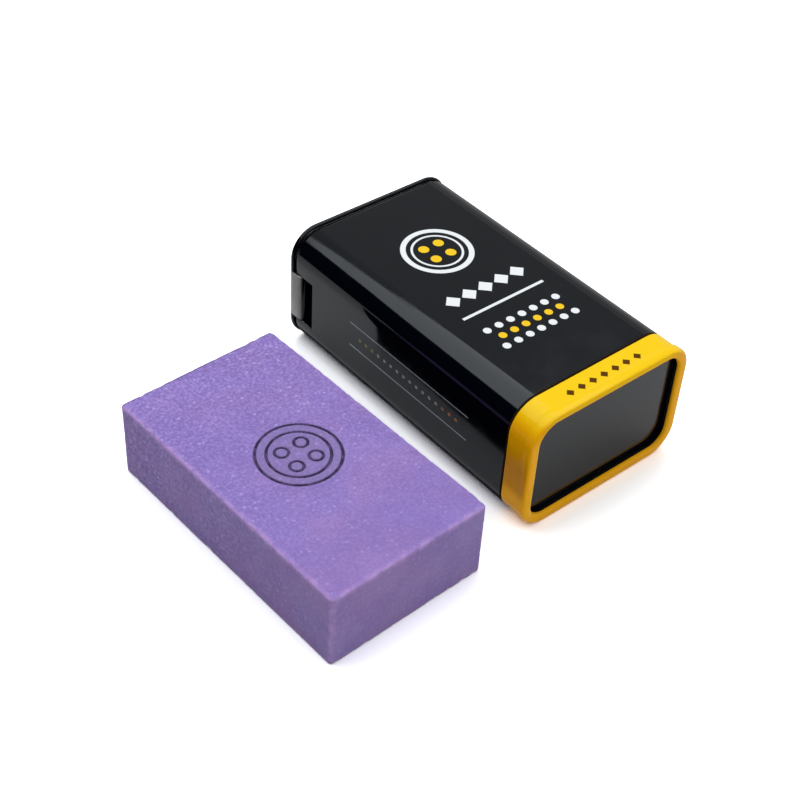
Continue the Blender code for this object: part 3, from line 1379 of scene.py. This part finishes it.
@dataclass
class EraserBlock:
    """The gritty cleaning block with its pressed badge."""

    width: float = 44.0 * MM
    length: float = 76.7 * MM
    height: float = 20.7 * MM
    turn: float = math.radians(BLOCK_TURN)
    corner: float = 1.2 * MM
    edge: float = 0.6 * MM
    cell: float = 0.46 * MM
    corner_cells: int = 6
    edge_cells: int = 4
    grit: float = 0.07 * MM
    chip: float = 0.55 * MM
    wave: float = 0.10 * MM
    chip_reach: float = 0.9 * MM
    # Reach of the paler edges, partly wear and partly painted highlight.
    wear_and_highlight_reach: float = 1.7 * MM
    wear_and_highlight_by_side: tuple[tuple[float, float], ...] = ((1.0, 0.3), (0.9, 0.0))
    groove: float = 0.50 * MM
    groove_half: float = 0.32
    # Reach and strength of the painted contact shadow along the foot.
    foot_shade_reach: float = 0.9 * MM
    foot_shade_full: float = 1.3
    # Reach and fade of the darker tone beside the badge's grooves.
    near_groove_reach: float = 1.2
    near_groove_fade: float = 0.8
    badge_scale: float = 1.15
    upright_below: float = 0.7
    far_below: float = 0.85
    grits: tuple[tuple[float, float], ...] = ((2600.0, 0.6), (1200.0, 0.4))
    wave_scale: float = 60.0
    chip_scales: tuple[float, float] = (520.0, 1500.0)
    chip_floors: tuple[float, float] = (0.12, 0.10)
    chip_shift: Point = (7.0, 3.0, 1.0)
    small_chips: float = 0.4
    coarse_middle: float = 0.80
    coarse_gain: float = 0.45
    bm: BMesh = field(default_factory=bmesh.new)

    @property
    def half(self) -> Vector:
        """Half the block's size."""
        return Vector((self.width, self.length, self.height)) / 2

    def build(self) -> Object:
        """Build the block.

        Returns:
            The piece.
        """
        low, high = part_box("eraser_block")
        middle = (low + high) / 2
        bmesh.ops.create_cube(self.bm, size=1.0)
        bmesh.ops.scale(self.bm, verts=self.bm.verts, vec=self.half * 2)
        self.divide()
        self.refine_badge()
        self.soften()
        self.press_badge()
        self.roughen()
        place = Matrix.Translation(middle) @ Matrix.Rotation(self.turn, 4, "Z")
        bmesh.ops.transform(self.bm, matrix=place, verts=self.bm.verts)
        piece = piece_of(self.bm, "gritty_block", [GrittyRubber()], math.radians(80))
        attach(piece, Body.BLOCK.value)
        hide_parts("eraser_block")
        return piece

    def divide(self) -> None:
        """Divide the box's faces into a grid that is finer beside its edges."""
        half = self.half
        reaches = (self.corner, self.corner, self.edge)
        cells = (self.corner_cells, self.corner_cells, self.edge_cells)
        for axis in range(3):
            along = [e for e in self.bm.edges
                     if abs(e.verts[0].co[axis] - e.verts[1].co[axis]) > half[axis]]
            cuts = round(2 * half[axis] / self.cell)
            bmesh.ops.subdivide_edges(self.bm, edges=along, cuts=cuts, use_grid_fill=True)
            margin = cells[axis] * 2 * half[axis] / (cuts + 1)
            inner = half[axis] - margin
            for vertex in self.bm.verts:
                place = abs(vertex.co[axis])
                if place <= inner:
                    place *= (half[axis] - reaches[axis]) / inner
                else:
                    place = half[axis] - (half[axis] - place) * reaches[axis] / margin
                vertex.co[axis] = math.copysign(place, vertex.co[axis])

    def badge(self) -> Emblem:
        """Give the pressed badge, in millimetres from the block's middle."""
        return Emblem(0.0, 0.0, self.badge_scale)

    def nearest(self, place: Vector) -> float:
        """Give the millimetres from a point to the badge's nearest line."""
        shapes = self.badge().shapes()
        return min(abs(shape.distance(place.x / MM, place.y / MM)) for shape in shapes)

    def refine_badge(self) -> None:
        """Divide the top more finely where the badge is pressed."""
        edges = set()
        for face in self.bm.faces:
            centre = face.calc_center_median()
            near = self.nearest(centre) < 2 * self.groove_half
            if near and centre.z > self.half.z - self.edge / 2:
                edges.update(face.edges)
        bmesh.ops.subdivide_edges(self.bm, edges=list(edges), cuts=3, use_grid_fill=True)

    def soften(self) -> None:
        """Round the box's upright corners, and its other edges less."""
        half = self.half
        core = Vector((half.x - self.corner, half.y - self.corner))
        for vertex in self.bm.verts:
            place = vertex.co.to_2d()
            held = Vector([max(-c, min(c, p)) for p, c in zip(place, core)])
            out = place - held
            reach = max(abs(out.x), abs(out.y))
            run = reach - (self.corner - self.edge)
            rise = abs(vertex.co.z) - (half.z - self.edge)
            if run > 0 and rise > 0:
                shrink = self.edge / math.hypot(run, rise)
                reach = self.corner - self.edge + run * shrink
                level = half.z - self.edge + rise * shrink
                vertex.co.z = math.copysign(level, vertex.co.z)
            vertex.co.xy = held + out.normalized() * reach

    def press_badge(self) -> None:
        """Press the badge's grooves into the top, and note how deep each point lies."""
        top = self.half.z - self.edge / 10
        pressed = self.bm.verts.layers.float.new("pressed")
        near_grooves = self.bm.verts.layers.float.new("near_grooves")
        outline = self.badge().rings()[0]
        for vertex in self.bm.verts:
            if vertex.co.z < top:
                continue
            nearest = self.nearest(vertex.co)
            depth = math.sqrt(max(0.0, 1.0 - (nearest / self.groove_half) ** 2))
            inside = outline.distance(vertex.co.x / MM, vertex.co.y / MM)
            # The depth also sets the painted shadow in the groove.
            vertex[pressed] = depth
            # Inside the badge, note how near each point lies to a groove, for a darker tone there.
            outside = max(inside, nearest - self.near_groove_reach, 0.0)
            vertex[near_grooves] = max(0.0, 1.0 - outside / self.near_groove_fade)
            vertex.co.z -= self.groove * depth

    def roughen(self) -> None:
        """Wear the surface down by its grit, its upright faces' waves and its chipped edges, and
        mark where painted light and shade go.
        """
        self.bm.normal_update()
        half = self.half
        layers = self.bm.verts.layers.float
        names = ("wear_and_highlight", "side_shade", "coarse", "painted_edge_shade")
        for name in names:
            layers.new(name)
        wear_and_highlight, side_shade, coarse, painted_edge_shade = (layers[name] for name in names)
        for vertex in self.bm.verts:
            place = vertex.co
            grain = sum(noise.noise(place * scale) * weight for scale, weight in self.grits)
            upright = abs(vertex.normal.z) < self.upright_below
            wave = noise.noise(place * self.wave_scale) * self.wave if upright else 0.0
            shifted = place * self.chip_scales[0] + Vector(self.chip_shift)
            chip = max(0.0, noise.noise(shifted) - self.chip_floors[0])
            small = noise.noise(place * self.chip_scales[1]) - self.chip_floors[1]
            chip += max(0.0, small) * self.small_chips
            reaches = [half[i] - abs(place[i]) for i in range(3)]
            edge_reach = sorted(reaches)[1]
            axis = 0 if reaches[0] < reaches[1] else 1
            # Paler edges, partly wear and partly painted highlight: strongest on the left and near
            # edges, weak on the right, none on the far edge.
            wear_and_highlight_by_side = self.wear_and_highlight_by_side[axis][0 if place[axis] < 0 else 1]
            vertex[wear_and_highlight] = max(0.0, 1.0 - edge_reach / self.wear_and_highlight_reach) * wear_and_highlight_by_side
            # Painted shade goes on the upright faces.
            vertex[side_shade] = 1.0 if upright else 0.0
            vertex[coarse] = self.coarse_middle + self.coarse_gain * place.y / half.y
            # Painted contact shadow along the foot, and painted shade along the far top edge.
            foot = self.foot_shade_full * (1.0 - (place.z + half.z) / self.foot_shade_reach)
            far_edge = (place.y > 0 and vertex.normal.y < self.far_below
                        and reaches[1] < 1.1 * self.edge)
            vertex[painted_edge_shade] = 1.0 if far_edge else min(1.0, max(0.0, foot))
            near_edge = max(0.0, 1.0 - edge_reach / self.chip_reach)
            depth = self.grit * (grain - 1.0) + wave - chip * near_edge * self.chip
            vertex.co += vertex.normal * min(depth, 0.0)


def panel(name: str, matrix: Matrix, material: Material) -> Object:
    """Make a flat square, a metre wide before its matrix.

    Args:
        name: Its name.
        matrix: Its place, turn and size.
        material: Its material.

    Returns:
        The object.
    """
    bm = bmesh.new()
    bmesh.ops.create_grid(bm, x_segments=1, y_segments=1, size=0.5, matrix=matrix)
    return object_of(bm, name, [material])


@dataclass(frozen=True)
class Card:
    """A flat card that the gloss mirrors and the camera doesn't see.

    One of its three sizes is nothing. A flag leaves the soft light and the shadows alone.
    """

    name: str
    low: Point
    high: Point
    material: Material
    turn: float = 0.0
    flag: bool = True

    def hang(self) -> None:
        """Hang the card, turned about the upright through its middle."""
        low, high = Vector(self.low), Vector(self.high)
        size = high - low
        flat = next(axis for axis in range(3) if size[axis] == 0)
        size[flat] = 1.0
        upright = (Matrix.Rotation(math.pi / 2, 4, "Y"),
                   Matrix.Rotation(math.pi / 2, 4, "X"), Matrix.Identity(4))
        place = Matrix.Translation((low + high) / 2)
        turned = Matrix.Rotation(math.radians(self.turn), 4, "Z")
        matrix = place @ turned @ Matrix.Diagonal((*size, 1.0)) @ upright[flat]
        card = panel(self.name, matrix, self.material)
        card.visible_camera = False
        card.visible_diffuse = card.visible_shadow = not self.flag


@dataclass
class Studio:
    """A pale floor, soft lamps, cards for the gloss to mirror, and the camera."""

    camera_offset: Point = (-0.18704, -0.16226, 0.25659)
    camera_turn: Point = (48.491, -2.801, -39.606)
    lens: float = 68.8
    sensor: float = 36.0
    clip_start: float = 0.01
    lamp_colour: Colour = (0.94, 0.975, 1.0)
    room_colour: tuple[float, float, float, float] = (0.97, 0.98, 1.0, 1.0)
    room_light: float = 0.35
    floor_size: float = 3.24
    lit_floor: float = 0.86
    floor_gain: float = 0.70
    mirrored_floor: float = 0.80
    black: float = 0.003
    dim_glow: float = 0.45
    faint_glow: float = 0.50
    card_front: float = -1.1
    card_left: float = 0.85
    card_back: float = 1.60
    card_right: float = 1.05
    card_height: float = 1.02
    ceiling: float = 1.30
    ceiling_size: float = 3.0
    flag_shift: Point = (22.5 * MM, 0.75 * MM, 0.0)
    flag_half: float = 38.5 * MM
    flag_over: float = 2.4 * MM

    def build(self) -> None:
        """Set up the floor, the light and the camera."""
        self.floor()
        self.cards()
        self.world()
        self.lamp("back_softbox", (-0.10, 0.445, 1.0), (1.88, 0.90), 12.4, -13.5)
        self.lamp("front_softbox", (-0.1, -0.75, 1.0), (1.60, 1.00), 4.3, 0.0)
        self.camera()
        bpy.context.scene.view_settings.view_transform = "Standard"

    def seen_or_mirrored(self, graph: Graph) -> Value:
        """Tell what the camera sees, in gloss and through clear pieces as well.

        Args:
            graph: The material's or the world's tree.

        Returns:
            1 for what it sees and 0 for the rest of the light.
        """
        path = graph.node("ShaderNodeLightPath")
        kinds = ("Is Camera Ray", "Is Glossy Ray", "Is Transmission Ray")
        first, second, third = (Value(graph, path.outputs[kind]) for kind in kinds)
        return larger(larger(first, second), third)

    def floor(self) -> None:
        """Lay a white floor that shows white where no shadow falls."""
        graph = Graph.named("white_studio_floor")
        parts = {"Shader": graph.diffuse(1.0), "Shader_001": graph.diffuse(self.floor_gain)}
        bright = graph.node("ShaderNodeAddShader", parts).outputs[0]
        path = graph.node("ShaderNodeLightPath")
        seen = graph.mix(path.outputs["Is Camera Ray"], graph.diffuse(self.mirrored_floor),
                         bright)
        white = graph.mix(self.seen_or_mirrored(graph), graph.diffuse(self.lit_floor), seen)
        size = Matrix.Diagonal((self.floor_size, self.floor_size, 1.0, 1.0))
        floor = panel("studio_floor", size, graph.close(white))

    def cards(self) -> None:
        """Hang the dark cards, the dim ceiling and the flags."""
        black, ceiling, pale = (Graph.named(name) for name in (
            "black_studio_card", "dim_studio_ceiling", "faint_studio_card"))
        dark = black.close(black.diffuse(self.black))
        dim = ceiling.close(ceiling.glow(self.dim_glow))
        faint = pale.close(pale.glow(self.faint_glow))
        left, back, reach = -self.card_left, self.card_back, self.ceiling_size / 2
        low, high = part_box("eraser_block")
        x, y, _ = (low + high) / 2 + Vector(self.flag_shift)
        near, far, top = y - self.flag_half, y + self.flag_half, high.z + self.flag_over
        for card in (
            Card("left_dark_card", (left, self.card_front, 0.0),
                 (left, back, self.card_height), dark, flag=False),
            Card("back_dark_card", (left, back, 0.0),
                 (self.card_right, back, self.ceiling), dark, flag=False),
            Card("dim_ceiling", (-reach, -reach, self.ceiling),
                 (reach, back, self.ceiling), dim, flag=False),
            # Painted shade: a black sheet by the block's side that only the gloss sees, so the tin
            # mirrors black there instead of the lit block.
            Card("block_flag", (x, near, 0.0), (x, far, top), dark, BLOCK_TURN),
            Card("left_flag", (-0.13, -0.30, 0.0), (-0.13, 0.60, 0.10), dark),
            Card("right_flag", (0.08, -0.06, 0.0), (0.08, 0.12, 0.058), faint),
            Card("softbox_far_flag", (-0.886, 0.908, 0.985), (0.274, 1.308, 0.985), dim,
                 -20.3),
            Card("softbox_right_flag", (0.13, 0.727, 0.984), (0.78, 0.95, 0.984), dim),
            Card("softbox_left_flag", (-1.10, 0.93, 0.983), (-0.76, 1.15, 0.983), dark),
        ):
            card.hang()

    def world(self) -> None:
        """Fill the room with soft light that shows as white."""
        world = bpy.data.worlds.new("studio_room")
        bpy.context.scene.world = world
        graph = Graph(world)
        tint = {"Color": self.room_colour, "Strength": self.room_light}
        room = graph.node("ShaderNodeBackground", tint)
        seen = graph.node("ShaderNodeBackground", {"Color": (1.0, 1.0, 1.0, 1.0)})
        graph.close(graph.mix(self.seen_or_mirrored(graph), room.outputs[0],
                              seen.outputs[0]))

    def lamp(self, name: str, place: Point, size: tuple[float, float], power: float,
             turn: float) -> None:
        """Hang a soft area lamp that shines straight down.

        Args:
            name: The lamp's name.
            place: Its place.
            size: Its width and depth.
            power: Its power in watts.
            turn: Its turn about the upright, in degrees.
        """
        light = bpy.data.lights.new(name, "AREA")
        light.shape = "RECTANGLE"
        light.size, light.size_y = size
        light.energy = power
        light.color = self.lamp_colour
        lamp = linked(name, light)
        lamp.visible_camera = False
        lamp.location = place
        lamp.rotation_euler = (0, 0, math.radians(turn))

    def camera(self) -> None:
        """Set the camera at the photograph's place and angle."""
        lens = bpy.data.cameras.new("camera")
        lens.lens = self.lens
        lens.sensor_width = self.sensor
        lens.clip_start = self.clip_start
        camera = linked("camera", lens)
        camera.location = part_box("tin_body")[0] + Vector(self.camera_offset)
        camera.rotation_euler = Euler([math.radians(angle) for angle in self.camera_turn])
        bpy.context.scene.camera = camera


def report(pieces: list[Object]) -> None:
    """Say how many faces each finished piece has."""
    for piece in pieces:
        LOG.info("%s: %d faces", piece.name, len(piece.data.polygons))


def main() -> None:
    """Build the set and its studio."""
    logging.basicConfig(level=logging.INFO, format="%(name)s %(message)s")
    sizes = TinSizes()
    report([Sleeve(sizes).build(), BasePlate(sizes).build(), *PlugLid(sizes).build(),
            EraserBlock().build()])
    wire = frame["nodes"]["hinge_wire"]
    wire.data.materials.clear()
    wire.data.materials.append(SteelWire().material())
    Studio().build()
    bpy.context.view_layer.update()


if __name__ == "__main__":
    main()
